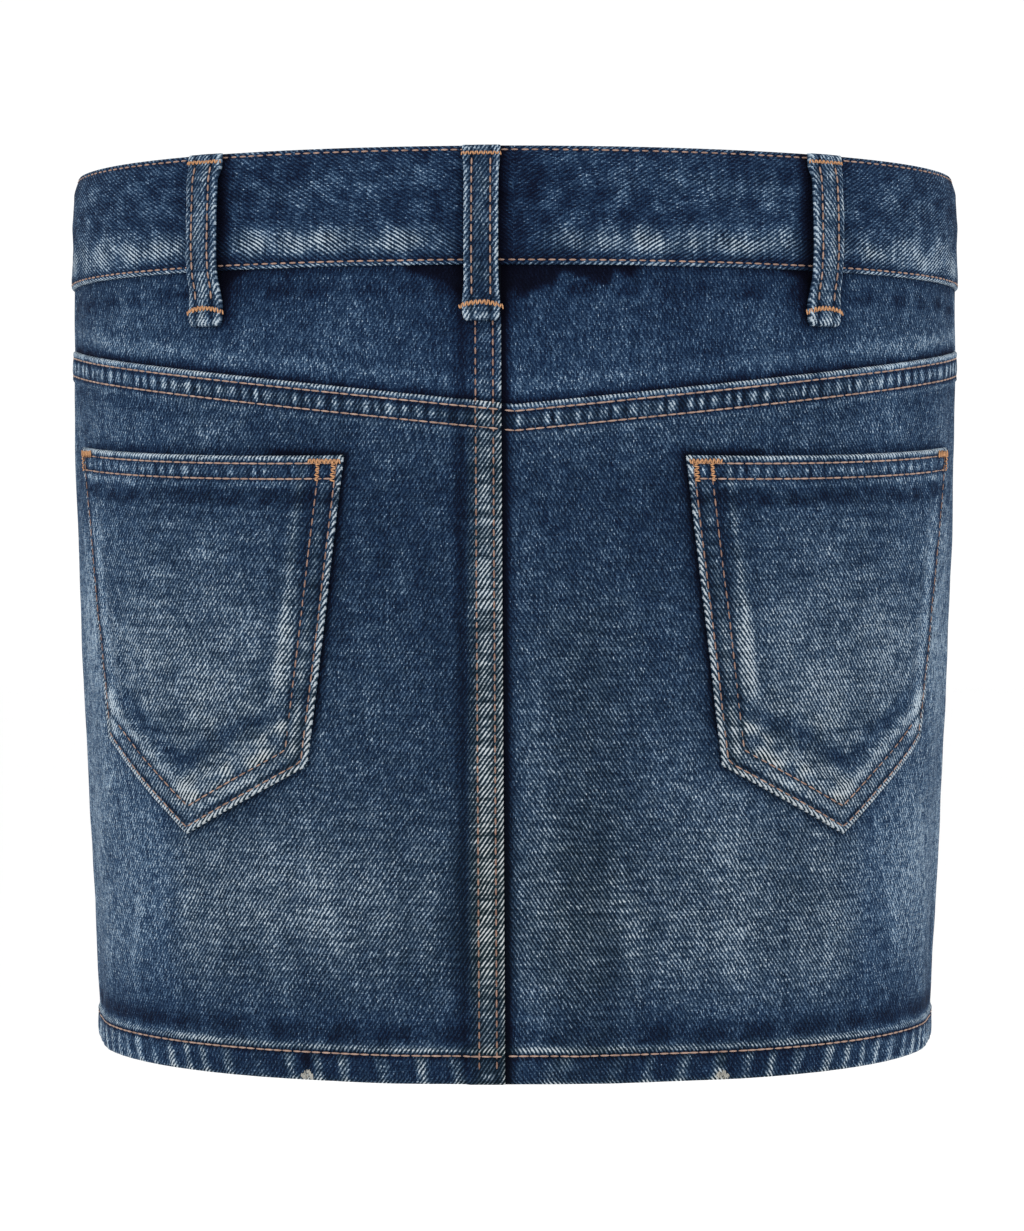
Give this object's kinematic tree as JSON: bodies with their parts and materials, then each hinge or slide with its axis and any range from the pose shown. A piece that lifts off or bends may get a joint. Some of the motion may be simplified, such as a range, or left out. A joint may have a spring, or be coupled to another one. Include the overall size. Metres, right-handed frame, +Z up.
{
  "type": "denim skirt",
  "caption": "Straight denim mini skirt in worn form, with waistband, belt loops, back yoke, patch pockets, lapped centre back seam, zip fly and turned hem.",
  "frame": {"origin": "middle of the waist opening, level with the waistband's top edge, where the wearer's waist holds the skirt up", "axes": "+Z up, the skirt's back faces +Y, its front faces -Y, and the wearer's left is +X"},
  "size_m": [0.3576, 0.2373, 0.345],
  "materials": {
    "denim": "washed indigo cotton twill",
    "zip_tape": "woven navy polyester tape",
    "metal": "antiqued brass"
  },
  "bodies": {
    "root": {"waistband": "denim", "yoke_left": "denim", "yoke_right": "denim", "back_left": "denim", "back_right": "denim", "front_left": "denim", "front_right": "denim", "pocket_left": "denim", "pocket_right": "denim", "loop_back_centre": "denim", "loop_back_left": "denim", "loop_back_right": "denim", "loop_front_left": "denim", "loop_front_right": "denim", "zip_tape_left": "zip_tape", "zip_tape_right": "zip_tape", "zip_slider": "metal", "button": "metal"}
  },
  "joints": []
}
